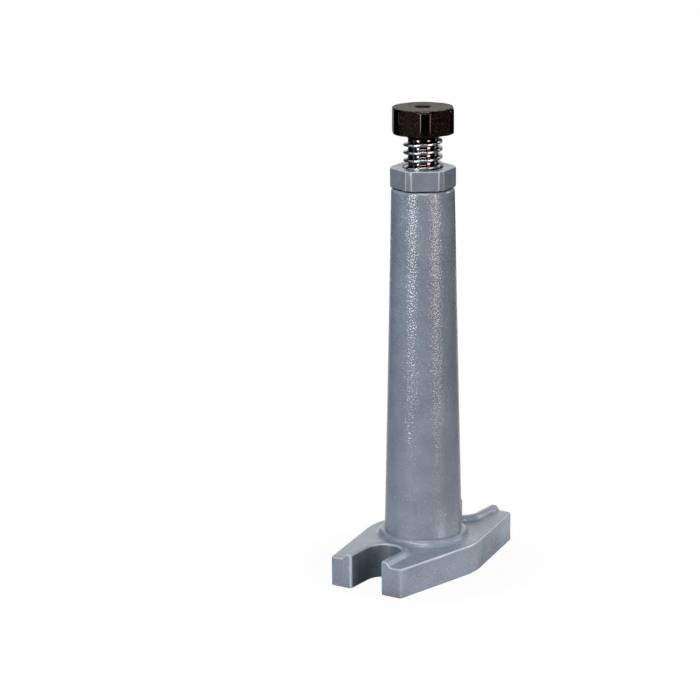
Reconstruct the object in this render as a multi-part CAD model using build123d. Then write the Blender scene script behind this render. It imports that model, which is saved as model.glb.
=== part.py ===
from build123d import *
import math
import os

# Screw jack in millimetres. Z is up, the origin lies under the spindle's axis on the floor, and Y runs along the foot.

# Load thread: trapezoidal 30 x 6, right-hand, one start
thread_major = 30.0
thread_pitch = 6.0
thread_depth = 3.5
thread_half_angle = 15.0
thread_crest_flat = 2.0
thread_radial_play = 0.5
thread_overlap_in_core = 0.5
turns_per_length = 2.0
spare = 2.0

# Foot casting
foot_length = 170.0
foot_end_width = 63.0
foot_middle_width = 96.4
foot_middle_radius = 60.0
foot_corner_radius = 2.0
foot_thickness = 23.5
foot_edge_round = 1.5
foot_bottom_chamfer = 1.0
slot_width = 27.0
slot_depth = 39.0
rib_height = 3.8
rib_top_width = 4.3
rib_slope_width = 3.2
chipped_corner = 5.0
chip_depth = 1.3

# Column, cast in one with the foot
column_top_height = 301.5
column_top_diameter = 48.8
column_taper = 0.0443
column_top_edge = 1.8
collar_rise = 5.0
collar_width = 4.0
collar_edge = 1.1
collar_root = 3.6
bore_diameter = 36.0
bore_mouth_chamfer = 1.5
thread_length_in_column = 30.0
thread_lead_chamfer = 1.2

# Lock nut, 46 mm across flats, corners turned round
hex_across_flats = 46.0
nut_height = 16.0
nut_corner_diameter = 50.4
nut_chamfer = 1.0
chamfer_angle = 30.0
nut_gap = 0.3
nut_turn = 35.1
nut_countersink_width = 0.8

# Spindle and its pressed-on hexagon head
head_height = 20.0
head_corner_diameter = 49.6
head_top_chamfer = 1.6
head_bottom_chamfer = 1.0
head_turn = 6.0
head_hole_diameter = 10.2
head_countersink_width = 1.5
spigot_diameter = 18.0
spigot_length = 9.0
spigot_fit = 0.05
spigot_chamfer = 0.6
neck_length = 4.5
neck_diameter = 24.3
shown_thread = 26.2
lift_up = 186.0
journal_diameter = 20.0
journal_length = 16.0
foot_chamfer = 1.5
thread_start_angle = 123.0
modelled_turns = 6.6
thread_end_chamfer = 1.5

# Guide ring on the spindle's foot, and the ring that holds it
guide_clearance = 0.3
guide_height = 10.0
guide_bore_clearance = 0.3
retaining_ring_play = 0.3
retaining_groove_depth = 1.0
retaining_ring_width = 2.75
retaining_ring_height = 1.6
retaining_ring_gap_angle = 60.0
ring_seat_clearance = 0.15

# Places that follow from the sizes above
thread_core = thread_major - 2 * thread_depth
thread_hole_diameter = thread_major + 2 * thread_radial_play
foot_half_length = foot_length / 2
slot_end_centre = foot_half_length - slot_depth + slot_width / 2
rib_top_height = foot_thickness + rib_height
rib_total_width = rib_top_width + rib_slope_width
collar_top = foot_thickness + collar_rise
column_foot_diameter = column_top_diameter + column_taper * (column_top_height - collar_top)
collar_diameter = column_foot_diameter + 2 * collar_width
column_thread_bottom = column_top_height - thread_length_in_column
nut_bottom = column_top_height + nut_gap
nut_top = nut_bottom + nut_height
head_bottom = nut_top + shown_thread
head_top = head_bottom + head_height
thread_top = head_bottom - neck_length
thread_bottom = column_thread_bottom - lift_up
helix_bottom = thread_top - modelled_turns * thread_pitch
spigot_top = head_bottom + spigot_length
guide_top = thread_bottom - guide_clearance
guide_bottom = guide_top - guide_height
journal_bottom = thread_bottom - journal_length
ring_top = guide_bottom - retaining_ring_play
ring_bottom = ring_top - retaining_ring_height - ring_seat_clearance


def bar(diameter, bottom, top):
    """A round bar about the spindle's axis between two heights."""
    blank = Cylinder(diameter / 2, top - bottom, align=(Align.CENTER, Align.CENTER, Align.MIN))
    return blank.moved(Location((0, 0, bottom)))


def turned(points):
    """A turned solid from (radius, height) points, closed along the axis."""
    return revolve(Plane.XZ * make_face(Polyline(*points, close=True)), Axis.Z)


def screw_ridge(turns, inner_radius, outer_radius, inner_width, outer_width):
    """A helical ridge of trapezoid section that starts at height 0 on the +X side."""
    rise = turns * thread_pitch
    corners = [(inner_radius, -inner_width / 2), (outer_radius, -outer_width / 2),
               (outer_radius, outer_width / 2), (inner_radius, inner_width / 2)]
    lines = [Edge.make_helix(thread_pitch, rise, r, center=(0, 0, z)) for r, z in corners]
    faces = [Face.make_surface_from_curves(lines[k], lines[(k + 1) % 4]) for k in range(4)]
    for height in (0, rise):
        turn = 2 * math.pi * height / thread_pitch
        outline = [(r * math.cos(turn), r * math.sin(turn), z + height) for r, z in corners]
        faces.append(Face(Wire.make_polygon(outline, close=True)))
    return Solid(Shell(faces))


def screw_lengths(turns, start_height, start_angle, section):
    """The ridge in short lengths laid end to end, from a start height and angle."""
    lengths = []
    done = 0.0
    while turns - done > 1e-6:
        step = min(turns_per_length, turns - done)
        place = Location((0, 0, start_height + done * thread_pitch), (0, 0, start_angle + 360 * done))
        lengths.append(screw_ridge(step, *section).moved(place))
        done += step
    return lengths


def ridge_section(inner_radius, crest_radius):
    """Radii and widths of the trapezoid ridge, from inside the core out to its crest."""
    slope = math.tan(math.radians(thread_half_angle))
    return inner_radius, crest_radius, thread_crest_flat + 2 * (crest_radius - inner_radius) * slope, thread_crest_flat


def foot_outline():
    """The foot seen from above: a long hexagon, widest under the column, with its side corners well rounded."""
    end, middle = foot_end_width / 2, foot_middle_width / 2
    corners = [(-end, -foot_half_length), (end, -foot_half_length), (middle, 0),
               (end, foot_half_length), (-end, foot_half_length), (-middle, 0)]
    outline = make_face(Polyline(*corners, close=True))
    outline = fillet(outline.vertices().sort_by(Axis.X)[0], foot_middle_radius)
    outline = fillet(outline.vertices().sort_by(Axis.X)[-1], foot_middle_radius)
    end_corners = outline.vertices().group_by(Axis.Y)[0] + outline.vertices().group_by(Axis.Y)[-1]
    return fillet(end_corners, foot_corner_radius)


def slot_outline(width, end):
    """A U open at one end of the foot, as wide as given. end is -1 or 1 along Y."""
    reach = foot_half_length + spare + rib_slope_width - slot_end_centre
    straight = Rectangle(width, reach).moved(Location((0, end * (slot_end_centre + reach / 2))))
    return straight + Circle(width / 2).moved(Location((0, end * slot_end_centre)))


def slot_rib(end):
    """The raised bead round a slot, flat on top and sloping down outwards."""
    slope = math.degrees(math.atan2(rib_slope_width, rib_height))
    bead = extrude(slot_outline(slot_width + 2 * rib_total_width, end), rib_height, taper=slope)
    return bead.moved(Location((0, 0, foot_thickness)))


def broken_edge(corner, size, before, after):
    """Points that break a profile's corner into two flats, set back by a size on the lines before and after it."""
    (x, z), half = corner, 0.29 * size
    start = (x + size * before[0], z + size * before[1])
    middle = (x + half * (before[0] + after[0]), z + half * (before[1] + after[1]))
    finish = (x + size * after[0], z + size * after[1])
    return [start, middle, finish]


def column_skin():
    """The collar and the tapered column as one turned solid, seated in the foot's top."""
    collar, foot, top = collar_diameter / 2, column_foot_diameter / 2, column_top_diameter / 2
    sunk = foot_thickness - spare
    root = broken_edge((collar, foot_thickness), collar_root, (1, 0), (0, 1))
    edge = broken_edge((collar, collar_top), collar_edge, (0, -1), (-1, 0))
    crown = broken_edge((top, column_top_height), column_top_edge, (0, -1), (-1, 0))
    return turned([(0, sunk), (collar + collar_root, sunk)] + root + edge + [(foot, collar_top)] + crown
                  + [(0, column_top_height)])


def thread_angle_at(height):
    """Where the spindle's ridge stands round the axis, in degrees, at a height."""
    return thread_start_angle + 360 * (height - thread_top) / thread_pitch


def make_column():
    """Foot and column, cast in one and bored from below, with the threaded length at the top."""
    foot = extrude(foot_outline(), foot_thickness)
    foot = fillet(foot.edges().group_by(Axis.Z)[-1], foot_edge_round)
    foot = chamfer(foot.edges().group_by(Axis.Z)[0], foot_bottom_chamfer)
    above = extrude(foot_outline(), rib_top_height)
    body = foot + column_skin() + (slot_rib(-1) & above) + (slot_rib(1) & above)
    for end in (-1, 1):
        body = body - extrude(slot_outline(slot_width, end), rib_top_height + spare)
    chip = Plane((slot_width / 2 + chipped_corner, -foot_half_length, 0),
                 z_dir=(-1 / chipped_corner, -1 / chip_depth, -1 / chipped_corner))
    body = body - chip * Box(4 * chipped_corner, 4 * chipped_corner, 2 * chipped_corner,
                             align=(Align.CENTER, Align.CENTER, Align.MIN))
    body = body - bar(bore_diameter, -spare, column_thread_bottom)
    body = body - bar(thread_hole_diameter, -spare, column_top_height + spare)
    return body - countersink(bore_diameter, bore_mouth_chamfer, 0, -1) - countersink(
        thread_hole_diameter, thread_lead_chamfer, column_top_height, 1)


def countersink(diameter, width, face_height, up):
    """The 45 degree cone that widens a hole at a face. up is 1 for a hole that opens upwards and -1 for downwards."""
    hole = diameter / 2
    return turned([(0, face_height - up * width), (hole, face_height - up * width),
                   (hole + width + spare, face_height + up * spare), (0, face_height + up * spare)])


def hexagon(corner_diameter, lower_edge, upper_edge, bottom, top, turn):
    """A hexagon bar whose corners are turned to a diameter. An edge is the width and height of the turned chamfer."""
    corner = corner_diameter / 2
    (low_width, low_height), (high_width, high_height) = lower_edge, upper_edge
    blank = turned([(0, bottom), (corner - low_width, bottom), (corner, bottom + low_height),
                    (corner, top - high_height), (corner - high_width, top), (0, top)])
    flats = extrude(RegularPolygon(hex_across_flats / 2, 6, major_radius=False), top - bottom)
    return blank & flats.moved(Location((0, 0, bottom), (0, 0, turn)))


def make_lock_nut():
    """The nut, with the hole that clears the spindle's crests and a countersink on top."""
    edge = (nut_chamfer, nut_chamfer * math.tan(math.radians(chamfer_angle)))
    nut = hexagon(nut_corner_diameter, edge, edge, nut_bottom, nut_top, nut_turn)
    nut = nut - bar(thread_hole_diameter, nut_bottom - spare, nut_top + spare)
    return nut - countersink(thread_hole_diameter, nut_countersink_width, nut_top, 1)


def make_head():
    """The hexagon head with the hole for the spindle's spigot and the tapped hole above it."""
    lower, upper = (head_bottom_chamfer, head_bottom_chamfer), (head_top_chamfer, head_top_chamfer)
    head = hexagon(head_corner_diameter, lower, upper, head_bottom, head_top, head_turn)
    head = head - bar(spigot_diameter + 2 * spigot_fit, head_bottom - spare, head_bottom + spigot_length)
    head = head - bar(head_hole_diameter, head_bottom, head_top + spare)
    return head - countersink(head_hole_diameter, head_countersink_width, head_top, 1)


def make_spindle():
    """The spindle: spigot, neck, load thread and the journal for the guide ring.
    The thread's upper turns are cut as a true helix, and its lower length is drawn as the crests' cylinder."""
    core, neck, spigot, journal = thread_core / 2, neck_diameter / 2, spigot_diameter / 2, journal_diameter / 2
    groove, crest = journal - retaining_groove_depth, thread_major / 2
    foot = [(0, journal_bottom), (journal - foot_chamfer, journal_bottom), (journal, journal_bottom + foot_chamfer),
            (journal, ring_bottom), (groove, ring_bottom), (groove, ring_top), (journal, ring_top),
            (journal, thread_bottom)]
    thread = [(crest - thread_end_chamfer, thread_bottom), (crest, thread_bottom + thread_end_chamfer),
              (crest, helix_bottom), (core, helix_bottom), (core, thread_top)]
    tip = [(neck, thread_top), (neck, head_bottom), (spigot, head_bottom), (spigot, spigot_top - spigot_chamfer),
           (spigot - spigot_chamfer, spigot_top), (0, spigot_top)]
    section = ridge_section(core - thread_overlap_in_core, crest)
    ridges = screw_lengths(modelled_turns, helix_bottom, thread_angle_at(helix_bottom), section)
    return turned(foot + thread + tip).fuse(*ridges)


def make_guide_ring():
    """The plain ring that slides in the column's bore and stops the spindle under the column's thread."""
    ring = bar(bore_diameter - 2 * guide_clearance, guide_bottom, guide_top)
    return ring - bar(journal_diameter + 2 * guide_bore_clearance, guide_bottom - spare, guide_top + spare)


def make_retaining_ring():
    """A flat open ring sprung into the spindle's groove."""
    inner = journal_diameter / 2 - retaining_groove_depth + ring_seat_clearance
    outer = inner + retaining_ring_width
    low = ring_bottom + ring_seat_clearance / 2
    high = low + retaining_ring_height
    ring = bar(2 * outer, low, high) - bar(2 * inner, low - spare, high + spare)
    half = math.radians(retaining_ring_gap_angle / 2)
    reach = 2 * outer
    sides = [(0, 0), (reach * math.cos(half), -reach * math.sin(half)), (reach * math.cos(half), reach * math.sin(half))]
    gap = extrude(make_face(Polyline(*sides, close=True)), retaining_ring_height + 2 * spare)
    return ring - gap.moved(Location((0, 0, low - spare)))


os.makedirs("parts", exist_ok=True)
export_step(make_column(), "parts/column.step")
export_step(make_lock_nut(), "parts/lock_nut.step")
export_step(make_spindle(), "parts/spindle.step")
export_step(make_head(), "parts/spindle_head.step")
export_step(make_guide_ring(), "parts/guide_ring.step")
export_step(make_retaining_ring(), "parts/retaining_ring.step")
print("jack", round(head_top, 1), "mm high, lifts to", round(head_top + lift_up, 1))
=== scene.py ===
import math

import bmesh
import bpy
from mathutils import Matrix, Vector
from mathutils.geometry import delaunay_2d_cdt


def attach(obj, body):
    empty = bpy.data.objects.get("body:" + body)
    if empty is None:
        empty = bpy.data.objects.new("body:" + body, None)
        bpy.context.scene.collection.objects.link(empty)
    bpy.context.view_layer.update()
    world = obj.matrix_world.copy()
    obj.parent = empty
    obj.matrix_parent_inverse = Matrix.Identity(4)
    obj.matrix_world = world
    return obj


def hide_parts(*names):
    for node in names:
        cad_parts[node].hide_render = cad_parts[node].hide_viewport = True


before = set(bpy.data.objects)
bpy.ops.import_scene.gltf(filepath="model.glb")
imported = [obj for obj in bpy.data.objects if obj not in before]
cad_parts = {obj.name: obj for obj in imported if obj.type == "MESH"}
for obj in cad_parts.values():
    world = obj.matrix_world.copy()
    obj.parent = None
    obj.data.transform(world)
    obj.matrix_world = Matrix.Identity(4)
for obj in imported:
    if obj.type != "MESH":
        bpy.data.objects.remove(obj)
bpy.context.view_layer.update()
print("frame loaded:", sorted(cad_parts))

mm = 0.001      # shapes and patterns are given in millimetres, the stage in metres


# Colours and nodes

def srgbToLinear(code):
    parts = [int(code[i:i + 2], 16) / 255 for i in (0, 2, 4)]
    return (*[p / 12.92 if p <= 0.04045 else ((p + 0.055) / 1.055) ** 2.4 for p in parts], 1.0)


# A socket is given another node's output, a number, a vector or an sRGB hex colour.
# In a Mix of colours, socket 0 is the factor, 6 and 7 are the colours, and output 2 is the result.
def addNode(tree, kind, inputs=None, **settings):
    node = tree.nodes.new("ShaderNode" + kind)
    for name, value in settings.items():
        setattr(node, name, value)
    for socket, value in (inputs or {}).items():
        if isinstance(value, bpy.types.NodeSocket):
            tree.links.new(value, node.inputs[socket])
        else:
            node.inputs[socket].default_value = srgbToLinear(value) if isinstance(value, str) else value
    return node


def newMaterial(name, **sockets):      # a socket is named with underscores for its spaces
    material = bpy.data.materials.new(name)
    material.use_nodes = True
    tree = material.node_tree
    shader = tree.nodes["Principled BSDF"]
    for socket, value in sockets.items():
        shader.inputs[socket.replace("_", " ")].default_value = value
    return material, tree, shader


# Materials

lacquer = {
    # the pale colour paints highlights on the edges, and the dark one paints shade on the slots' walls
    "colour": "7D8894", "shade": "707B88", "light": "96A1AC", "bareAndPaintedLight": "B4C8CE", "slotShadeColour": "3C444C",
    "toneSize": 22.0, "lumpSize": 5.0, "lumpHeight": 0.12,
    "grainSize": 1.4, "grainHeight": 0.37,      # sand grain, drawn coarser than the mould's so that it shows
    "roughness": 0.22, "coat": 0.5, "coatRoughness": 0.16,
}


# Sand casting under blue-grey lacquer: the paint rounds the sand grain off, so it glitters softly where a
# lamp is mirrored. Edges are painted lighter as highlights, and the slots' walls are painted darker as shade.
def makeCastingLacquer():
    s = lacquer
    material, tree, shader = newMaterial("lacqueredSandCasting", Roughness=s["roughness"], IOR=1.5,
                                         Coat_Weight=s["coat"], Coat_Roughness=s["coatRoughness"])
    place = addNode(tree, "TexCoord").outputs["Object"]
    grain = addNode(tree, "TexNoise", {"Vector": place, "Scale": 1 / (s["grainSize"] * mm),
                                       "Detail": 1.0}).outputs[0]
    lump = addNode(tree, "TexNoise", {"Vector": place, "Scale": 1 / (s["lumpSize"] * mm),
                                      "Detail": 1.0}).outputs[0]
    tone = addNode(tree, "TexNoise", {"Vector": place, "Scale": 1 / (s["toneSize"] * mm)}).outputs[0]
    cloudy = addNode(tree, "MapRange", {"Value": tone, "From Min": 0.35, "From Max": 0.65}).outputs[0]
    base = addNode(tree, "Mix", {0: cloudy, 6: s["shade"], 7: s["colour"]}, data_type="RGBA").outputs[2]
    raised = addNode(tree, "MapRange", {"Value": grain, "From Min": 0.5, "From Max": 0.75,
                                        "To Max": 0.35}).outputs[0]
    speck = addNode(tree, "Mix", {0: raised, 6: base, 7: s["light"]}, data_type="RGBA").outputs[2]
    # marks above 0 paint highlights on the edges, and marks below 0 paint shade on the slots' walls
    paintedLightAndFinish = addNode(tree, "Attribute", attribute_name="paintedLightAndFinish").outputs["Fac"]
    lightShadeAndWear = addNode(tree, "Mix", {0: paintedLightAndFinish, 6: speck, 7: s["bareAndPaintedLight"]}, data_type="RGBA").outputs[2]
    shadeMask = addNode(tree, "Math", {0: paintedLightAndFinish, 1: -1.0}, operation="MULTIPLY", use_clamp=True).outputs[0]
    shadedColour = addNode(tree, "Mix", {0: shadeMask, 6: lightShadeAndWear, 7: s["slotShadeColour"]}, data_type="RGBA").outputs[2]
    tree.links.new(shadedColour, shader.inputs["Base Color"])
    coarse = addNode(tree, "Bump", {"Height": lump, "Distance": s["lumpHeight"] * mm,
                                    "Strength": 1.0}).outputs[0]
    fine = addNode(tree, "Bump", {"Height": grain, "Distance": s["grainHeight"] * mm, "Strength": 1.0,
                                  "Normal": coarse}).outputs[0]
    tree.links.new(fine, shader.inputs["Normal"])
    tree.links.new(fine, shader.inputs["Coat Normal"])
    return material


nutPaint = {
    # the pale colour paints highlights on the edges, and the dark one paints shade in the joint below
    "colour": "79828D", "shade": "6D7681", "bareAndPaintedLight": "B9CBD3", "jointShadeColour": "16181C",
    "toneSize": 9.0, "peelSize": 1.6, "peelHeight": 0.005,
}


# The same lacquer sprayed on machined steel: smooth, with only the faint waviness of paint. Its edges are
# painted lighter as highlights, and painted shade darkens the joint below.
def makeNutLacquer():
    s = nutPaint
    material, tree, shader = newMaterial("lacqueredSteel", Roughness=0.2, IOR=1.5)
    place = addNode(tree, "TexCoord").outputs["Object"]
    tone = addNode(tree, "TexNoise", {"Vector": place, "Scale": 1 / (s["toneSize"] * mm)}).outputs[0]
    cloudy = addNode(tree, "MapRange", {"Value": tone, "From Min": 0.3, "From Max": 0.7}).outputs[0]
    base = addNode(tree, "Mix", {0: cloudy, 6: s["shade"], 7: s["colour"]}, data_type="RGBA").outputs[2]
    # marks above 0 paint highlights on the edges, and marks below 0 paint shade in the joint below
    paintedLightAndFinish = addNode(tree, "Attribute", attribute_name="paintedLightAndFinish").outputs["Fac"]
    lightShadeAndWear = addNode(tree, "Mix", {0: paintedLightAndFinish, 6: base, 7: s["bareAndPaintedLight"]}, data_type="RGBA").outputs[2]
    shadeMask = addNode(tree, "Math", {0: paintedLightAndFinish, 1: -1.0}, operation="MULTIPLY", use_clamp=True).outputs[0]
    joint = addNode(tree, "Mix", {0: shadeMask, 6: lightShadeAndWear, 7: s["jointShadeColour"]}, data_type="RGBA").outputs[2]
    tree.links.new(joint, shader.inputs["Base Color"])
    peel = addNode(tree, "TexNoise", {"Vector": place, "Scale": 1 / (s["peelSize"] * mm),
                                      "Detail": 1.0}).outputs[0]
    wave = addNode(tree, "Bump", {"Height": peel, "Distance": s["peelHeight"] * mm, "Strength": 1.0})
    tree.links.new(wave.outputs[0], shader.inputs["Normal"])
    return material


steel = {
    "clean": "C8CED6", "stained": "A6ACB4", "stainSize": 6.0,
    # the roots' darker colour is partly oil and partly painted shade
    "oilAndShade": "807B78", "oilShadeAt": 12.4, "oilShadeFull": 2.1, "oilShadeNone": 2.5,      # radius, and distances from it
    "black": "231E1D", "blackFrom": 340.0, "blackBlend": 0.3,      # the neck under the head is drawn near black
    "rootRoughness": 0.14, "crestRoughness": 0.3,
}


# Turned steel: the roots of the thread are darker, partly from old oil and partly as painted shade, and they
# mirror little but the lamps; the crests are pale and dull where the nut runs on them
def makeBrightSteel():
    s = steel
    material, tree, shader = newMaterial("turnedSteel", Metallic=1.0)
    place = addNode(tree, "TexCoord").outputs["Object"]
    stain = addNode(tree, "TexNoise", {"Vector": place, "Scale": 1 / (s["stainSize"] * mm),
                                       "Detail": 3.0}).outputs[0]
    stained = addNode(tree, "MapRange", {"Value": stain, "From Min": 0.4, "From Max": 0.7}).outputs[0]
    base = addNode(tree, "Mix", {0: stained, 6: s["clean"], 7: s["stained"]}, data_type="RGBA").outputs[2]
    apart = addNode(tree, "SeparateXYZ", {0: place}).outputs
    level = addNode(tree, "CombineXYZ", {"X": apart["X"], "Y": apart["Y"]}).outputs[0]
    radius = addNode(tree, "VectorMath", {0: level}, operation="LENGTH").outputs["Value"]
    # darker towards the roots: partly oil, partly painted shade
    away = addNode(tree, "Math", {0: radius, 1: s["oilShadeAt"] * mm}, operation="SUBTRACT").outputs[0]
    depth = addNode(tree, "Math", {0: away}, operation="ABSOLUTE").outputs[0]
    lightShadeAndWear = addNode(tree, "MapRange", {"Value": depth, "From Min": s["oilShadeFull"] * mm,
                                        "From Max": s["oilShadeNone"] * mm}).outputs[0]
    oiledAndShaded = addNode(tree, "Mix", {0: lightShadeAndWear, 6: s["oilAndShade"], 7: base}, data_type="RGBA").outputs[2]
    # the neck under the head is drawn near black
    low, high = s["blackFrom"] - s["blackBlend"], s["blackFrom"] + s["blackBlend"]
    neck = addNode(tree, "MapRange", {"Value": apart["Z"], "From Min": low * mm,
                                      "From Max": high * mm}).outputs[0]
    blackNeck = addNode(tree, "Mix", {0: neck, 6: oiledAndShaded, 7: s["black"]}, data_type="RGBA").outputs[2]
    tree.links.new(blackNeck, shader.inputs["Base Color"])
    dull = addNode(tree, "MapRange", {"Value": lightShadeAndWear, "To Min": s["rootRoughness"],
                                      "To Max": s["crestRoughness"]}).outputs[0]
    tree.links.new(dull, shader.inputs["Roughness"])
    return material


oxide = {
    "side": "060302", "sideFleck": "2D201B", "top": "1A120F", "topFleck": "7B6A63", "turned": "040201",
    "fleckSize": 1.1, "topFleckSize": 1.3, "etchHeight": 0.012,      # coarser than real, so that they show
    "topFrom": 363.7, "holeEdge": 6.7, "blend": 0.2, "roughness": 0.13, "topRoughness": 0.6,
}


# Black oxide on steel: a thin brown-black skin, glossy and flecked on the milled flats, matt on the faced
# top, plain on the turned corners. The hole and its countersink are painted near black as shade.
def makeBlackOxide():
    s = oxide
    material, tree, shader = newMaterial("blackOxide", IOR=1.32)
    place = addNode(tree, "TexCoord").outputs["Object"]
    fleck = addNode(tree, "TexNoise", {"Vector": place, "Scale": 1 / (s["fleckSize"] * mm), "Detail": 2.0,
                                       "Roughness": 0.6}).outputs[0]
    flecked = addNode(tree, "MapRange", {"Value": fleck, "From Min": 0.45, "From Max": 0.65}).outputs[0]
    broad = addNode(tree, "TexNoise", {"Vector": place, "Scale": 1 / (s["topFleckSize"] * mm),
                                       "Detail": 2.0}).outputs[0]
    mottled = addNode(tree, "MapRange", {"Value": broad, "From Min": 0.4, "From Max": 0.6}).outputs[0]
    apart = addNode(tree, "SeparateXYZ", {0: place}).outputs
    low, high = s["topFrom"] - s["blend"], s["topFrom"] + s["blend"]
    faced = addNode(tree, "MapRange", {"Value": apart["Z"], "From Min": low * mm,
                                       "From Max": high * mm}).outputs[0]
    level = addNode(tree, "CombineXYZ", {"X": apart["X"], "Y": apart["Y"]}).outputs[0]
    radius = addNode(tree, "VectorMath", {0: level}, operation="LENGTH").outputs["Value"]
    # the hole and its countersink are painted near black as shade, and made matt
    holeShade = addNode(tree, "MapRange", {"Value": radius, "From Min": s["holeEdge"] * mm,
                                         "From Max": (s["holeEdge"] - s["blend"]) * mm}).outputs[0]
    sides = addNode(tree, "Mix", {0: flecked, 6: s["side"], 7: s["sideFleck"]}, data_type="RGBA").outputs[2]
    top = addNode(tree, "Mix", {0: mottled, 6: s["top"], 7: s["topFleck"]}, data_type="RGBA").outputs[2]
    skin = addNode(tree, "Mix", {0: faced, 6: sides, 7: top}, data_type="RGBA").outputs[2]
    corners = addNode(tree, "Attribute", attribute_name="paintedLightAndFinish").outputs["Fac"]
    bareAndPaintedLight = addNode(tree, "Math", {0: holeShade, 1: corners}, operation="MAXIMUM").outputs[0]
    plain = addNode(tree, "Mix", {0: bareAndPaintedLight, 6: skin, 7: s["turned"]}, data_type="RGBA").outputs[2]
    tree.links.new(plain, shader.inputs["Base Color"])
    rougher = addNode(tree, "Math", {0: faced, 1: holeShade}, operation="MAXIMUM").outputs[0]
    matt = addNode(tree, "MapRange", {"Value": rougher, "To Min": s["roughness"],
                                      "To Max": s["topRoughness"]}).outputs[0]
    tree.links.new(matt, shader.inputs["Roughness"])
    etch = addNode(tree, "Bump", {"Height": fleck, "Distance": s["etchHeight"] * mm, "Strength": 1.0})
    tree.links.new(etch.outputs[0], shader.inputs["Normal"])
    return material


brass = {"clean": "C7A768", "tarnished": "9A7B45", "tarnishSize": 3.0}


# Turned brass, which oil has dulled in patches
def makeTurnedBrass():
    s = brass
    material, tree, shader = newMaterial("turnedBrass", Metallic=1.0, Roughness=0.3)
    place = addNode(tree, "TexCoord").outputs["Object"]
    tarnish = addNode(tree, "TexNoise", {"Vector": place, "Scale": 1 / (s["tarnishSize"] * mm),
                                         "Detail": 3.0}).outputs[0]
    dulled = addNode(tree, "MapRange", {"Value": tarnish, "From Min": 0.35, "From Max": 0.7}).outputs[0]
    base = addNode(tree, "Mix", {0: dulled, 6: s["clean"], 7: s["tarnished"]}, data_type="RGBA").outputs[2]
    tree.links.new(base, shader.inputs["Base Color"])
    return material


phosphate = {"dark": "4A4744", "pale": "6A6662", "patchSize": 1.5}


# Phosphated spring steel: dark grey and half matt, blotched by the bath
def makeSpringSteel():
    s = phosphate
    material, tree, shader = newMaterial("phosphatedSpringSteel", Metallic=0.9, Roughness=0.45)
    place = addNode(tree, "TexCoord").outputs["Object"]
    patch = addNode(tree, "TexNoise", {"Vector": place, "Scale": 1 / (s["patchSize"] * mm),
                                       "Detail": 3.0}).outputs[0]
    mottled = addNode(tree, "MapRange", {"Value": patch, "From Min": 0.35, "From Max": 0.7}).outputs[0]
    base = addNode(tree, "Mix", {0: mottled, 6: s["dark"], 7: s["pale"]}, data_type="RGBA").outputs[2]
    tree.links.new(base, shader.inputs["Base Color"])
    return material


castingLacquer = makeCastingLacquer()
nutLacquer = makeNutLacquer()
brightSteel = makeBrightSteel()
blackOxide = makeBlackOxide()
turnedBrass = makeTurnedBrass()
springSteel = makeSpringSteel()
print("materials made")


# Meshes: a build is a dictionary of points in millimetres, a mark for each one, and faces. A mark from 0 to 1
# paints an edge lighter as a highlight, and on the head marks the turned corners; below 0 it paints shade.

meshLimits = {"merge": 0.004, "sliver": 0.002, "fill": 1e-5, "cut": 1e-4, "hair": 0.01}      # tiny lengths


def newBuild():
    return {"points": [], "paintedLightAndFinish": [], "faces": []}


# quads between neighbouring rings, which all have the same count of points
def joinRings(build, rings, paintedLightAndFinish=None, loopAlong=False, capEnds=False):
    first, count = len(build["points"]), len(rings[0])
    for k, ring in enumerate(rings):
        build["points"].extend(ring)
        build["paintedLightAndFinish"].extend(paintedLightAndFinish[k] if paintedLightAndFinish else [0.0] * count)
    for k in range(len(rings) if loopAlong else len(rings) - 1):
        a, b = first + k * count, first + ((k + 1) % len(rings)) * count
        build["faces"].extend((a + i, a + (i + 1) % count, b + (i + 1) % count, b + i) for i in range(count))
    if capEnds:
        last = first + (len(rings) - 1) * count
        build["faces"].append(tuple(range(first, first + count)))
        build["faces"].append(tuple(range(last, last + count)))


def circleRing(radius, height, segments):
    angles = [2 * math.pi * i / segments for i in range(segments)]
    return [(radius * math.cos(a), radius * math.sin(a), height) for a in angles]


def lathe(build, profile, segments, **ends):      # a profile's point is (radius, height), and a painted highlight mark may follow
    paintedLightAndFinish = [[p[2] if len(p) > 2 else 0.0] * segments for p in profile]
    joinRings(build, [circleRing(p[0], p[1], segments) for p in profile], paintedLightAndFinish, **ends)


# an arc at a profile's corner, from the line in one unit direction to the line in the other
def roundedCorner(corner, radius, before, after, steps):
    x, z = corner
    centre = (x + radius * (before[0] + after[0]), z + radius * (before[1] + after[1]))
    points = []
    for k in range(steps + 1):
        t = math.pi / 2 * k / steps
        points.append((centre[0] - radius * (after[0] * math.cos(t) + before[0] * math.sin(t)),
                       centre[1] - radius * (after[1] * math.cos(t) + before[1] * math.sin(t))))
    return points


# triangles inside closed loops, over the points that follow them, with a round hole left open in the middle
def fillFlat(build, flat, heights, loops, holeRadius):
    links, start = [], 0
    for count in loops:
        links += [(start + i, start + (i + 1) % count) for i in range(count)]
        start += count
    enclosed = 1      # the kind of result that keeps what the loops enclose
    points, _, faces, origins, _, _ = delaunay_2d_cdt(flat, links, [], enclosed, meshLimits["fill"])
    first = len(build["points"])
    build["points"] += [(p.x, p.y, heights[origin[0]]) for p, origin in zip(points, origins)]
    build["paintedLightAndFinish"] += [0.0] * len(points)
    for face in faces:
        if max(points[i].length for i in face) > holeRadius + meshLimits["hair"]:
            build["faces"].append(tuple(first + i for i in face))


def cutNick(work, point, outward, corner, reach):      # planes off one corner of a solid
    near = [f for f in work.faces if all((v.co / mm - corner).length < reach for v in f.verts)]
    parts = dict.fromkeys(p for f in near for p in (f, *f.edges, *f.verts))      # once each, in order
    cut = bmesh.ops.bisect_plane(work, geom=list(parts), dist=meshLimits["cut"] * mm,
                                 plane_co=point * mm, plane_no=outward, clear_outer=True)
    bmesh.ops.contextual_create(work, geom=[e for e in cut["geom_cut"] if isinstance(e, bmesh.types.BMEdge)])


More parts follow.
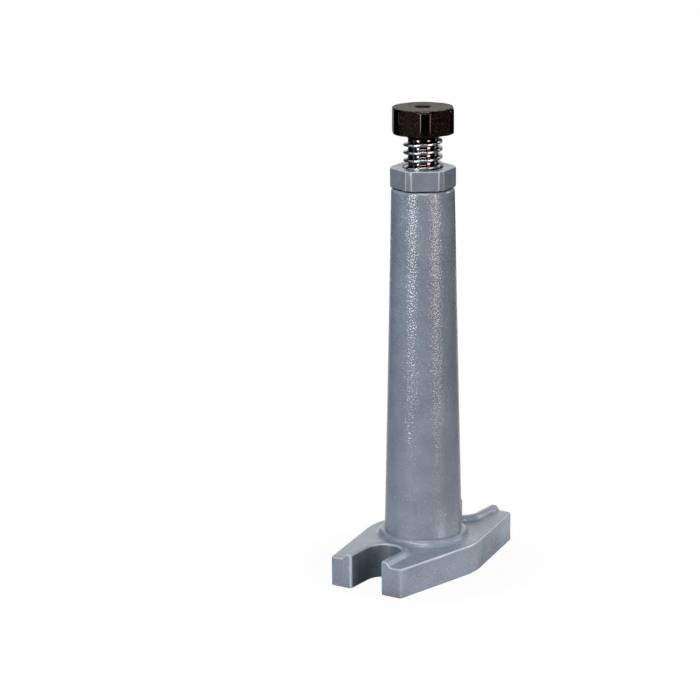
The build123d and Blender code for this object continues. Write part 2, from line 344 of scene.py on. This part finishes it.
def makePiece(name, build, material, body, node, sharpAngle, nick=None):
    mesh = bpy.data.meshes.new(name)
    mesh.from_pydata([tuple(c * mm for c in p) for p in build["points"]], [], build["faces"])
    mesh.attributes.new("paintedLightAndFinish", "FLOAT", "POINT").data.foreach_set("value", build["paintedLightAndFinish"])
    work = bmesh.new()
    work.from_mesh(mesh)
    bmesh.ops.remove_doubles(work, verts=work.verts, dist=meshLimits["merge"] * mm)
    bmesh.ops.dissolve_degenerate(work, edges=work.edges, dist=meshLimits["sliver"] * mm)
    bmesh.ops.recalc_face_normals(work, faces=work.faces)
    if nick:
        cutNick(work, *nick)
    work.to_mesh(mesh)
    work.free()
    mesh.polygons.foreach_set("use_smooth", [True] * len(mesh.polygons))
    mesh.set_sharp_from_angle(angle=math.radians(sharpAngle))
    mesh.materials.append(material)
    piece = bpy.data.objects.new(name, mesh)
    bpy.context.scene.collection.objects.link(piece)
    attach(piece, body)
    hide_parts(node)
    print("made", name, len(mesh.polygons), "faces")


# The column: foot, collar and tapered tube in one casting

column = {
    "halfLength": 85.0, "endHalfWidth": 31.5, "middleHalfWidth": 48.2, "middleRadius": 60.0,
    "cornerRadius": 2.0, "slotCornerRadius": 1.7, "thickness": 23.5, "edgeRound": 1.5,
    "slotHalfWidth": 13.5, "slotCentre": 59.5, "slotEnd": 46.0,
    "ribHeight": 3.8, "ribTop": 4.2, "ribFoot": 8.0,
    "chip": 5.0, "chipDepth": 1.3, "chipReach": 14.0,
    "creaseRadius": 30.45, "creaseHeight": 28.5, "topRadius": 24.4, "topHeight": 301.5, "topRound": 1.8,
    "threadHole": 15.5, "threadBottom": 271.5, "lead": 1.2, "bore": 18.0, "mouth": 1.5,
    # the painted highlight along the foot's upper edge, as (distance in, amount), and the painted highlights
    # and shade on the rest
    "rim": [(0.0, 0.0), (0.06, 0.2), (0.22, 0.65), (0.48, 0.7), (0.8, 0.15), (1.15, 0.0), (1.5, 0.0)],
    "slotShade": 0.5, "onWall": 0.2, "paintedEdgeHighlight": 0.5, "edgeTurn": (12.0, 21.0), "mouthReach": 9.0,
    "crownHighlight": 0.15, "crownHighlightDepth": 1.5,
    # where the mesh has its points
    "grid": 1.15, "rowRatio": 0.866, "segments": 180, "rimGap": 0.5, "ribGap": 0.7, "collarGap": 0.8,
    "ribRows": (2.2, 3.4, 4.2, 4.7, 5.3, 6.0, 6.7, 7.4, 8.0, 9.0), "wallBand": 0.5,
    "wallRows": (12.0, 6.0, 5.0, 4.0, 3.0, 2.0, 1.3, 0.8),      # close near the floor, where the chip is cut
    "bottomRound": [(0.1, 0.42), (0.35, 0.14), (0.8, 0.0)],      # (distance in, height)
    "tubeRows": (28.5, 29.0, 32.0, 100.0, 200.0, 296.0, 299.3),
    # the collar's rounded edge and its wide fillet into the foot, as (radius, height above the foot)
    "collar": [(30.45, 5.0), (31.6, 5.0), (32.5, 4.96), (33.2, 4.8), (33.75, 4.5), (34.1, 4.1), (34.35, 3.5),
               (34.6, 2.8), (35.0, 2.1), (35.55, 1.45), (36.3, 0.85), (37.1, 0.42), (38.0, 0.15),
               (39.0, 0.0)],
}


def slotDistance(x, y):      # how far a point lies outside the wall of the nearer slot
    return math.hypot(x, max(0.0, column["slotCentre"] - abs(y))) - column["slotHalfWidth"]


def edgeDistance(x, y):      # how far a point lies inside the foot's outline
    s = column
    run = math.hypot(s["halfLength"], s["middleHalfWidth"] - s["endHalfWidth"])
    slope = (s["middleHalfWidth"] - s["endHalfWidth"]) / run
    side = (s["middleHalfWidth"] - abs(x)) * s["halfLength"] / run - abs(y) * slope
    centre = s["middleHalfWidth"] - s["middleRadius"] * run / s["halfLength"]
    if abs(y) < s["middleRadius"] * slope:      # where the side is round
        side = s["middleRadius"] - math.hypot(abs(x) - centre, y)
    return min(side, s["halfLength"] - abs(y), slotDistance(x, y))


def footHeight(x, y, inside):
    s = column
    t = min(1.0, max(0.0, (slotDistance(x, y) - s["ribTop"]) / (s["ribFoot"] - s["ribTop"])))
    height = s["thickness"] + s["ribHeight"] * (1 - t) ** 2 * (1 + 2 * t)      # a rib eases down to the foot
    r = max(math.hypot(x, y), s["creaseRadius"])      # rounding can leave the first ring a hair inside it
    for (r0, z0), (r1, z1) in zip(s["collar"], s["collar"][1:]):
        if r0 <= r < r1:
            height += z0 + (z1 - z0) * (r - r0) / (r1 - r0)
    if inside < s["edgeRound"]:
        back = s["edgeRound"] - inside
        height -= s["edgeRound"] - math.sqrt(max(0.0, s["edgeRound"] ** 2 - back ** 2))
    return height


def pointsBetween(a, b, step):
    pieces = max(1, round((b - a).length / step))
    return [a + (b - a) * i / pieces for i in range(1, pieces)]


def filletLoop(corners, step):      # an outline from (x, y, radius) corners, with points about a step apart
    loop = []
    for k, (x, y, radius) in enumerate(corners):
        corner = Vector((x, y))
        before = (Vector(corners[k - 1][:2]) - corner).normalized()
        after = (Vector(corners[(k + 1) % len(corners)][:2]) - corner).normalized()
        half = before.angle(after) / 2
        reach = radius / math.tan(half)
        start, end = corner + before * reach, corner + after * reach
        middle = corner + (before + after).normalized() * radius / math.sin(half)
        if loop:
            loop += pointsBetween(loop[-1], start, step)
        spoke = start - middle
        turn = spoke.angle_signed(end - middle)
        pieces = max(4, round(abs(turn) * radius / step))
        for i in range(pieces + 1):
            a = -turn * i / pieces
            loop.append(middle + Vector((spoke.x * math.cos(a) - spoke.y * math.sin(a),
                                         spoke.x * math.sin(a) + spoke.y * math.cos(a))))
    return loop + pointsBetween(loop[-1], loop[0], step)


def insetLoop(loop, amount):
    inner = []
    for k, point in enumerate(loop):
        along = (loop[(k + 1) % len(loop)] - loop[k - 1]).normalized()
        inner.append(point + Vector((-along.y, along.x)) * amount)
    return inner


def footOutline():      # the foot with its two slots, seen from above
    s = column
    end, middle, half = s["endHalfWidth"], s["middleHalfWidth"], s["halfLength"]
    slot, deep = s["slotHalfWidth"], s["slotEnd"]
    corner, mouth, side = s["cornerRadius"], s["slotCornerRadius"], s["middleRadius"]
    corners = [(slot, -half, mouth), (end, -half, corner), (middle, 0, side), (end, half, corner),
               (slot, half, mouth), (slot, deep, slot), (-slot, deep, slot), (-slot, half, mouth),
               (-end, half, corner), (-middle, 0, side), (-end, -half, corner), (-slot, -half, mouth),
               (-slot, -deep, slot), (slot, -deep, slot)]
    return filletLoop(corners, s["grid"])


def wallLightAndShade(loop):      # painted highlights on the upright edges at the slots' mouths, and painted shade on the slots' walls
    s = column
    lightShadeLevel = []
    for k, point in enumerate(loop):
        turn = math.degrees(abs((point - loop[k - 1]).angle_signed(loop[(k + 1) % len(loop)] - point, 0)))
        sharp = min(1.0, max(0.0, (turn - s["edgeTurn"][0]) / (s["edgeTurn"][1] - s["edgeTurn"][0])))
        atMouth = abs(point.x) < s["slotHalfWidth"] + s["mouthReach"]
        pastCorner = s["halfLength"] - abs(point.y) > s["slotCornerRadius"]
        if pastCorner and slotDistance(point.x, point.y) < s["onWall"]:
            lightShadeLevel.append(-s["slotShade"])
        else:
            lightShadeLevel.append(s["paintedEdgeHighlight"] * sharp if atMouth else 0.0)
    return lightShadeLevel


def ribSpots():      # points in rows along the raised ribs round the slots
    s = column
    spots = []
    straight = int((s["halfLength"] - s["slotCentre"]) / s["grid"])
    for out in s["ribRows"]:
        radius = s["slotHalfWidth"] + out
        pieces = round(math.pi * radius / s["grid"])
        for end in (-1, 1):
            spots += [(side * radius, end * (s["slotCentre"] + i * s["grid"]))
                      for side in (-1, 1) for i in range(1, straight + 1)]
            around = [math.pi * i / pieces for i in range(pieces + 1)]
            spots += [(radius * math.cos(a), end * (s["slotCentre"] - radius * math.sin(a))) for a in around]
    return spots


def gridSpots():      # a triangular grid over the rest of the foot's top
    s = column
    spots = []
    rows = int(s["halfLength"] / (s["grid"] * s["rowRatio"]))
    across = int(s["middleHalfWidth"] / s["grid"])
    clearOfCollar, clearOfRibs = s["collar"][-1][0] + s["collarGap"], s["ribRows"][-1] + s["ribGap"]
    for row in range(-rows, rows + 1):
        y = row * s["grid"] * s["rowRatio"]
        for i in range(-across, across + 1):
            x = (i + 0.5 * (row % 2)) * s["grid"]
            if math.hypot(x, y) > clearOfCollar and slotDistance(x, y) > clearOfRibs:
                spots.append((x, y))
    return spots


# the rounded rim, and inside it rings round the collar, rows along the ribs and a grid
def addFootTop(build, edge):
    s = column
    rim = [[(p.x, p.y, footHeight(p.x, p.y, inside)) for p in insetLoop(edge, inside)]
           for inside, _ in s["rim"]]
    # the rim's rings are painted lighter as a highlight along the foot's upper edge
    joinRings(build, rim, [[lightShadeLevel] * len(edge) for _, lightShadeLevel in s["rim"]])
    spots = [p[:2] for radius, _ in s["collar"] for p in circleRing(radius, 0, s["segments"])]
    nearest = s["collar"][-1][0] + s["collarGap"] / 2
    for x, y in ribSpots() + gridSpots():
        if edgeDistance(x, y) > s["edgeRound"] + s["rimGap"] and math.hypot(x, y) > nearest:
            spots.append((x, y))
    flat = [Vector(p[:2]) for p in rim[-1]] + [Vector(p) for p in spots]
    heights = [p[2] for p in rim[-1]] + [footHeight(x, y, edgeDistance(x, y)) for x, y in spots]
    fillFlat(build, flat, heights, [len(edge)], s["creaseRadius"])


def addFootSides(build, edge):      # walls, the rounded bottom edge and the underside round the bore's mouth
    s = column
    top = [footHeight(p.x, p.y, 0.0) for p in edge]
    walls = [[(p.x, p.y, z - down) for p, z in zip(edge, top)] for down in (0.0, s["wallBand"])]
    walls += [[(p.x, p.y, z) for p in edge] for z in s["wallRows"]]
    below = [[(p.x, p.y, z) for p in insetLoop(edge, inside)] for inside, z in s["bottomRound"]]
    lightShadeAndWear = wallLightAndShade(edge)
    paintedLightAndFinish = [[max(0.0, lightShadeLevel) for lightShadeLevel in lightShadeAndWear]] + [lightShadeAndWear] * (len(walls) - 1)
    joinRings(build, walls + below, paintedLightAndFinish + [[0.0] * len(edge)] * len(below))
    mouth = s["bore"] + s["mouth"]
    flat = [Vector(p[:2]) for p in below[-1] + circleRing(mouth, 0, s["segments"])]
    fillFlat(build, flat, [0.0] * len(flat), [len(edge), s["segments"]], mouth)


def addTube(build):      # the tapered tube, its rounded top, the hole for the screw and the bore below it
    s = column
    taper = (s["topRadius"] - s["creaseRadius"]) / (s["topHeight"] - s["creaseHeight"])
    side = [(s["creaseRadius"] + taper * (z - s["creaseHeight"]), z) for z in s["tubeRows"]]
    crown = roundedCorner((s["topRadius"], s["topHeight"]), s["topRound"], (0, -1), (-1, 0), steps=6)
    # the crown's rounding is painted lighter as a highlight
    side += [(r, z, s["crownHighlight"] if z > s["topHeight"] - s["crownHighlightDepth"] else 0.0) for r, z in crown]
    hole, bore = s["threadHole"], s["bore"]
    inner = [(hole + s["lead"], s["topHeight"]), (hole, s["topHeight"] - s["lead"]),
             (hole, s["threadBottom"]), (bore, s["threadBottom"]), (bore, s["mouth"]),
             (bore + s["mouth"], 0.0)]
    lathe(build, side + inner, s["segments"])


def makeColumn():
    s = column
    build = newBuild()
    edge = footOutline()
    addFootTop(build, edge)
    addFootSides(build, edge)
    addTube(build)
    corner = Vector((s["slotHalfWidth"], -s["halfLength"], 0))
    cutPoint = corner + Vector((s["chip"], 0, 0))
    cutOutward = Vector((-1 / s["chip"], -1 / s["chipDepth"], -1 / s["chip"]))
    makePiece("columnCasting", build, castingLacquer, "stand", "column", sharpAngle=38,
              nick=(cutPoint, cutOutward, corner, s["chipReach"]))


makeColumn()


# Hexagons with turned corners: the lock nut and the spindle's head

def hexRings(s, levels):      # levels are (inset of the flats, turned radius, height, painted light mark)
    rings, paintedLightAndFinish = [], []
    for inset, turned, z, lightShadeLevel in levels:
        ring, lightShadeAndWear = [], []
        for i in range(s["segments"]):
            angle = 2 * math.pi * i / s["segments"]
            fromFlat = (math.degrees(angle) - s["turn"]) % 60 - 30      # from the nearest flat's middle
            flat = (s["flats"] / 2 - inset) / math.cos(math.radians(fromFlat))
            close = max(0.0, s["blend"] - abs(flat - turned)) / s["blend"]
            r = min(flat, turned) - close * close * s["blend"] / 4      # eases the flat into the corner
            ring.append((r * math.cos(angle), r * math.sin(angle), z))
            # where a flat eases into a turned corner, the edge can be painted lighter as a highlight
            corner = s["cornerWear"] if flat > turned and s["bottom"] < z < s["top"] else 0.0
            lightShadeAndWear.append(max(lightShadeLevel, close * s["paintedEdgeHighlight"], corner) if lightShadeLevel >= 0 else lightShadeLevel)
        rings.append(ring)
        paintedLightAndFinish.append(lightShadeAndWear)
    return rings, paintedLightAndFinish


nut = {
    "flats": 46.0, "corner": 25.3, "bottom": 301.8, "top": 317.8, "turn": 35.1, "chamfer": 1.0, "drop": 0.58,
    "edge": 0.35, "lowEdge": 0.9, "hole": 15.5, "sink": 0.8, "segments": 720, "blend": 0.32,
    "paintedEdgeHighlight": 0.9, "cornerWear": 0.0,
}


def makeNut():
    s = nut
    build = newBuild()
    c, e, low, top, bottom = s["corner"], s["edge"], s["lowEdge"], s["top"], s["bottom"]
    chamfered = c - s["chamfer"]
    # the lowest rings are painted dark as shade in the joint, and the top edge is painted lighter as a
    # highlight
    levels = [(low + 0.9, c - low - 1.2, bottom, -1.0), (low, c - low - 0.3, bottom, -1.0),
              (0.06, c - 0.45, bottom + low - 0.06, -0.9), (0.0, c - 0.3, bottom + low, 0.0),
              (0.0, c, bottom + low + 0.4, 0.0), (0.0, c, top - s["drop"] - 0.4, 0.0),
              (0.0, c - 0.05, top - s["drop"], 0.3), (0.0, c - 0.4, top - e, 0.7),
              (0.1, chamfered + 0.2, top - 0.1, 1.0), (e, chamfered - 0.1, top, 0.6),
              (1.1, chamfered - 0.9, top, 0.0)]
    rings, paintedLightAndFinish = hexRings(s, levels)
    sunk = s["hole"] + s["sink"]
    # the hole's rim is painted lighter as a highlight
    for r, z, lightShadeLevel in ((sunk + 0.3, top, 0.2), (sunk, top - 0.06, 0.9), (s["hole"], top - s["sink"], 0.9),
                       (s["hole"], bottom, 0.0), (s["hole"] + 0.5, bottom, 0.0)):
        rings.append(circleRing(r, z, s["segments"]))
        paintedLightAndFinish.append([lightShadeLevel] * s["segments"])
    joinRings(build, rings, paintedLightAndFinish, loopAlong=True)
    makePiece("lockNut", build, nutLacquer, "nut", "lock_nut", sharpAngle=50)


makeNut()

head = {
    "flats": 46.0, "corner": 24.8, "bottom": 344.0, "top": 364.0, "turn": 6.0, "topChamfer": 1.6,
    "bottomChamfer": 1.0, "edge": 0.4, "hole": 5.1, "sink": 1.5, "spigotHole": 9.05, "spigotTop": 353.0,
    "segments": 720, "blend": 0.3, "paintedEdgeHighlight": 0.0, "cornerWear": 1.0,
}


def makeHead():
    s = head
    build = newBuild()
    c, e, top, bottom = s["corner"], s["edge"], s["top"], s["bottom"]
    cut, low = s["topChamfer"], s["bottomChamfer"]
    levels = [(1.5, c - low - 1.4, bottom), (e, c - low - 0.1, bottom), (0.1, c - low + 0.1, bottom + 0.1),
              (0.0, c - low + 0.4, bottom + e), (0.0, c - 0.1, bottom + low), (0.0, c, bottom + low + 0.4),
              (0.0, c, top - cut - 0.4), (0.0, c - 0.12, top - cut), (0.0, c - cut * 0.5, top - cut * 0.5),
              (0.0, c - cut + 0.4, top - e), (0.1, c - cut + 0.1, top - 0.1), (e, c - cut - 0.1, top),
              (1.5, c - cut - 1.2, top)]
    rings, paintedLightAndFinish = hexRings(s, [(*level, 0.0) for level in levels])
    hole, sunk, spigot = s["hole"], s["hole"] + s["sink"], s["spigotHole"]
    for r, z in ((sunk + 0.3, top), (sunk, top - 0.08), (hole, top - s["sink"]), (hole, s["spigotTop"]),
                 (spigot, s["spigotTop"]), (spigot, bottom)):
        rings.append(circleRing(r, z, s["segments"]))
        paintedLightAndFinish.append([0.0] * s["segments"])
    joinRings(build, rings, paintedLightAndFinish, loopAlong=True)
    makePiece("hexHead", build, blackOxide, "screw", "spindle_head", sharpAngle=50)


makeHead()


# The spindle: its whole thread, neck and journal

spindle = {
    "crest": 15.0, "core": 11.5, "pitch": 6.0, "crestFlat": 2.0, "halfAngle": 15.0, "topAngle": 123.0,
    "threadTop": 339.5, "threadBottom": 85.5, "runOut": 2.5, "crestEdge": 0.55, "rootFillet": 0.45,
    "rootSunk": 0.6, "fade": 0.1, "fadeStart": 0.004, "fadeDepth": 0.3,      # fade and its start are turns
    "neck": 12.15, "neckEdge": 0.2, "neckRises": (0.2, 0.6, 0.9),      # a short cone leads up to the neck
    "spigot": 9.0, "spigotChamfer": 0.6, "journal": 10.0, "journalBottom": 69.5, "footChamfer": 1.5,
    "groove": 9.0, "grooveTop": 74.9, "grooveBottom": 73.15, "segments": 96,
}


def ridgeProfile():      # (radius, height) points round the ridge, its crest rounded and its roots filleted
    s = spindle
    e, f, core, crest = s["crestEdge"], s["rootFillet"], s["core"], s["crest"]

    def flank(r):      # the flank's distance from the ridge's middle
        return s["crestFlat"] / 2 + (crest - r) * math.tan(math.radians(s["halfAngle"]))

    half = [(core - s["rootSunk"], flank(core) + f), (core, flank(core) + f),
            (core + 0.06, flank(core) + f * 0.5), (core + 0.2, flank(core) + f * 0.15),
            (core + f, flank(core + f)), (crest - 1.15 * e, flank(crest - 1.15 * e))]
    half += [(crest - e + e * math.sin(a), flank(crest) - e + e * math.cos(a))
             for a in [math.radians(degrees) for degrees in (0, 18, 36, 54, 72, 90)]]
    return half + [(r, -z) for r, z in reversed(half)]


def makeSpindle():
    s = spindle
    build = newBuild()
    journal, groove, core, neck, spigot = s["journal"], s["groove"], s["core"], s["neck"], s["spigot"]
    foot, footCut, tip, tipCut = s["journalBottom"], s["footChamfer"], head["spigotTop"], s["spigotChamfer"]
    start, shoulder, full = [s["threadTop"] + rise for rise in s["neckRises"]]
    shaft = [(journal - footCut, foot), (journal, foot + footCut), (journal, s["grooveBottom"]),
             (groove, s["grooveBottom"]), (groove, s["grooveTop"]), (journal, s["grooveTop"]),
             (journal, s["threadBottom"]), (core, s["threadBottom"]), (core, start),
             (neck - s["neckEdge"], shoulder), (neck, full), (neck, head["bottom"]),
             (spigot, head["bottom"]), (spigot, tip - tipCut), (spigot - tipCut, tip)]
    lathe(build, shaft, s["segments"], capEnds=True)
    turns = (s["threadTop"] - s["threadBottom"] - s["runOut"]) / s["pitch"]
    profile, rings = ridgeProfile(), []
    for k in range(round(turns * s["segments"]) + 1):
        back = k / s["segments"]      # turns down from the thread's top
        angle = math.radians(s["topAngle"]) - 2 * math.pi * back
        rise = min(1.0, (back + s["fadeStart"]) / s["fade"], (turns - back + s["fadeStart"]) / s["fade"])
        ring = []
        for r, z in profile:
            if r >= core:
                r = core - s["fadeDepth"] + (r - core + s["fadeDepth"]) * rise
            ring.append((r * math.cos(angle), r * math.sin(angle), s["threadTop"] - back * s["pitch"] + z))
        rings.append(ring)
    joinRings(build, rings, capEnds=True)
    makePiece("threadedSpindle", build, brightSteel, "screw", "spindle", sharpAngle=45)


makeSpindle()


# The rings inside the bore

guide = {"bore": 10.3, "outer": 17.7, "bottom": 75.2, "top": 85.2, "chamfer": 0.6, "segments": 120}


def makeGuideRing():
    s = guide
    build = newBuild()
    r0, r1, z0, z1, c = s["bore"], s["outer"], s["bottom"], s["top"], s["chamfer"]
    lathe(build, [(r0, z0 + c), (r0 + c, z0), (r1 - c, z0), (r1, z0 + c), (r1, z1 - c), (r1 - c, z1),
                  (r0 + c, z1), (r0, z1 - c)], s["segments"], loopAlong=True)
    makePiece("guideRing", build, turnedBrass, "guide", "guide_ring", sharpAngle=30)


makeGuideRing()

circlip = {
    "inner": 9.15, "width": 2.6, "bottom": 73.25, "height": 1.55, "gap": 60.0, "edge": 0.15, "segments": 72,
}


def makeCirclip():
    s = circlip
    build = newBuild()
    r0, r1, z0, z1, e = s["inner"], s["inner"] + s["width"], s["bottom"], s["bottom"] + s["height"], s["edge"]
    section = [(r0, z0 + e), (r0 + e, z0), (r1 - e, z0), (r1, z0 + e), (r1, z1 - e), (r1 - e, z1),
               (r0 + e, z1), (r0, z1 - e)]
    rings = []
    for k in range(s["segments"] + 1):
        a = math.radians(s["gap"] / 2 + (360 - s["gap"]) * k / s["segments"])
        rings.append([(r * math.cos(a), r * math.sin(a), z) for r, z in section])
    joinRings(build, rings, capEnds=True)
    makePiece("retainingRing", build, springSteel, "screw", "retaining_ring", sharpAngle=30)


makeCirclip()
print("pieces made")


# Camera, floor, world and lamps

# the camera as fitted to the photograph: a place, two level directions and small turns from them in degrees
view = {
    "place": (1.0852, -1.7905, 0.7070), "lens": 142.95, "sensor": 36.0,
    "right": (0.8552, 0.5183, 0), "away": (-0.5183, 0.8552, 0), "yaw": 1.556, "pitch": 14.30, "roll": -0.44,
}


def makeCamera():
    s = view
    right, away, up = Vector(s["right"]), Vector(s["away"]), Vector((0, 0, 1))
    yaw, pitch, roll = [math.radians(s[k]) for k in ("yaw", "pitch", "roll")]
    ahead = away * math.cos(yaw) - right * math.sin(yaw)
    side = right * math.cos(yaw) + away * math.sin(yaw)
    look = ahead * math.cos(pitch) - up * math.sin(pitch)
    top = ahead * math.sin(pitch) + up * math.cos(pitch)
    sideRolled = side * math.cos(roll) + top * math.sin(roll)
    topRolled = top * math.cos(roll) - side * math.sin(roll)
    data = bpy.data.cameras.new("photoCamera")
    data.lens = s["lens"]
    data.sensor_width = s["sensor"]
    camera = bpy.data.objects.new("photoCamera", data)
    turn = Matrix((sideRolled, topRolled, -look)).transposed()
    camera.matrix_world = Matrix.Translation(s["place"]) @ turn.to_4x4()
    bpy.context.scene.collection.objects.link(camera)
    bpy.context.scene.camera = camera


makeCamera()

floorLook = {
    "half": 1.1, "drop": 0.0003, "roughness": 0.9,
    "pale": 0.55, "far": 0.15, "poolStart": 0.25, "poolEnd": 0.5,      # grey near the object, darker far off
    "under": 0.1, "underStart": 0.085, "underEnd": 0.12,      # and dark under the foot, which it would light
    "white": "FFFFFF", "glow": 1.055, "share": 0.92, "glossFrom": 0.8, "glossTo": 0.95,
}


# A white table: the camera and reflections see its white, and a little of the shadow stays
def makeFloor():
    s = floorLook
    h = s["half"]
    mesh = bpy.data.meshes.new("floor")
    mesh.from_pydata([(-h, -h, 0), (h, -h, 0), (h, h, 0), (-h, h, 0)], [], [(0, 1, 2, 3)])
    floor = bpy.data.objects.new("floor", mesh)
    floor.location.z = -s["drop"]
    bpy.context.scene.collection.objects.link(floor)
    material, tree, shader = newMaterial("whiteTable", Roughness=s["roughness"])
    place = addNode(tree, "TexCoord").outputs["Object"]
    out = addNode(tree, "VectorMath", {0: place}, operation="LENGTH").outputs["Value"]
    pool = {"Value": out, "From Min": s["poolStart"], "From Max": s["poolEnd"]}
    dimmer = addNode(tree, "MapRange", {**pool, "To Min": s["pale"],
                                        "To Max": s["pale"] * s["far"]}).outputs[0]
    clear = addNode(tree, "MapRange", {"Value": out, "From Min": s["underStart"], "From Max": s["underEnd"],
                                       "To Min": s["under"]}).outputs[0]
    pale = addNode(tree, "Math", {0: dimmer, 1: clear}, operation="MULTIPLY").outputs[0]
    grey = addNode(tree, "CombineColor", {0: pale, 1: pale, 2: pale}).outputs[0]
    tree.links.new(grey, shader.inputs["Base Color"])
    rays = addNode(tree, "LightPath").outputs
    direction = addNode(tree, "VectorMath", {0: place}, operation="NORMALIZE").outputs[0]
    along = addNode(tree, "VectorMath", {0: direction, 1: view["away"]},
                    operation="DOT_PRODUCT").outputs["Value"]
    behind = addNode(tree, "MapRange", {"Value": along, "From Min": s["glossFrom"],
                                        "From Max": s["glossTo"]}).outputs[0]
    mirrored = addNode(tree, "Math", {0: rays["Is Glossy Ray"], 1: behind}, operation="MULTIPLY").outputs[0]
    seen = addNode(tree, "Math", {0: rays["Is Camera Ray"], 1: mirrored}, operation="MAXIMUM").outputs[0]
    keep = addNode(tree, "MapRange", {**pool, "To Min": s["share"]}).outputs[0]
    share = addNode(tree, "Math", {0: seen, 1: keep}, operation="MULTIPLY").outputs[0]
    glow = addNode(tree, "Emission", {"Color": s["white"], "Strength": s["glow"]}).outputs[0]
    mix = addNode(tree, "MixShader", {0: share, 1: shader.outputs[0], 2: glow}).outputs[0]
    tree.links.new(mix, tree.nodes["Material Output"].inputs["Surface"])
    mesh.materials.append(material)


makeFloor()

studio = {
    "white": "FFFFFF", "sweepTilt": 18.0, "sweepStart": 0.85, "sweepEnd": 0.95,
    "fill": (0.04, 0.041, 0.044, 1), "dark": (0.012, 0.012, 0.014, 1),      # amounts of light, so linear
}


# A white sweep stands behind the object, and the rest of the studio is dim
def makeWorld():
    s = studio
    world = bpy.data.worlds.new("studio")
    world.use_nodes = True
    bpy.context.scene.world = world
    tree = world.node_tree
    rays = addNode(tree, "LightPath").outputs
    direction = addNode(tree, "TexCoord").outputs["Generated"]
    tilt = math.radians(s["sweepTilt"])
    axis = Vector(view["away"]) * math.cos(tilt) + Vector((0, 0, math.sin(tilt)))
    behind = addNode(tree, "VectorMath", {0: direction, 1: axis},
                     operation="DOT_PRODUCT").outputs["Value"]
    lit = addNode(tree, "MapRange", {"Value": behind, "From Min": s["sweepStart"],
                                     "From Max": s["sweepEnd"]}).outputs[0]
    sweep = addNode(tree, "Mix", {0: lit, 6: s["dark"], 7: s["white"]}, data_type="RGBA").outputs[2]
    seen = addNode(tree, "Math", {0: rays["Is Camera Ray"], 1: rays["Is Transmission Ray"]},
                   operation="MAXIMUM").outputs[0]
    mirrored = addNode(tree, "Mix", {0: rays["Is Glossy Ray"], 6: s["fill"], 7: sweep},
                       data_type="RGBA").outputs[2]
    colour = addNode(tree, "Mix", {0: seen, 6: mirrored, 7: s["white"]}, data_type="RGBA").outputs[2]
    tree.links.new(colour, tree.nodes["Background"].inputs["Color"])


makeWorld()


# across is in degrees to the camera's right, the lengths are in metres and the power in watts, and aim is the
# height on the object that the lamp faces
def addLamp(name, across, height, distance, width, tall, power, tint, aim=0.17, spread=180, mirrored=True):
    a = math.radians(across)
    outward = Vector(view["right"]) * math.sin(a) - Vector(view["away"]) * math.cos(a)
    place = outward * distance + Vector((0, 0, height))
    data = bpy.data.lights.new(name, "AREA")
    data.shape = "RECTANGLE"
    data.size = width
    data.size_y = tall
    data.energy = power
    data.color = srgbToLinear(tint)[:3]
    data.spread = math.radians(spread)
    lamp = bpy.data.objects.new(name, data)
    lamp.location = place
    lamp.rotation_euler = (place - Vector((0, 0, aim))).to_track_quat("Z", "Y").to_euler()
    lamp.visible_camera = False
    lamp.visible_glossy = mirrored
    bpy.context.scene.collection.objects.link(lamp)


# two softboxes draw the column's streaks
addLamp("leftSoftbox", -38, 0.34, 1.3, 0.28, 0.50, 7.3, "FAFAFF")
addLamp("rightSoftbox", 45, 0.27, 1.3, 0.46, 0.52, 5.8, "FFE4DC")
# narrow beams along the floor light the foot's sides and little more
addLamp("nearStrip", 56, 0.016, 0.40, 0.40, 0.02, 0.042, "F0FAFB", aim=0.004, spread=15)
addLamp("farStrip", 100, 0.016, 0.40, 0.20, 0.02, 0.012, "FFE2D6", aim=0.004, spread=15)
addLamp("leftStrip", -70, 0.016, 0.60, 0.20, 0.02, 0.008, "FFE9E6", aim=0.004, spread=15)
# panels above and beside it, and one for the back in turned views, which reflections don't see
addLamp("frontPanel", -5, 1.00, 1.0, 0.90, 0.30, 8.6, "FFF9F6")
addLamp("overheadPanel", 0, 1.15, 0.05, 0.45, 0.45, 4.2, "E4F2FF")
addLamp("rimRight", 112, 0.60, 1.0, 0.30, 0.50, 2.2, "EEF6FF")
addLamp("rimLeft", -78, 0.45, 1.0, 0.20, 0.50, 1.0, "E8F4FF")
addLamp("backPanel", 180, 0.13, 1.2, 0.50, 0.22, 8.0, "F4F8FF", mirrored=False)
print("camera, floor, world and lamps made")

bpy.context.scene.view_settings.view_transform = "Standard"
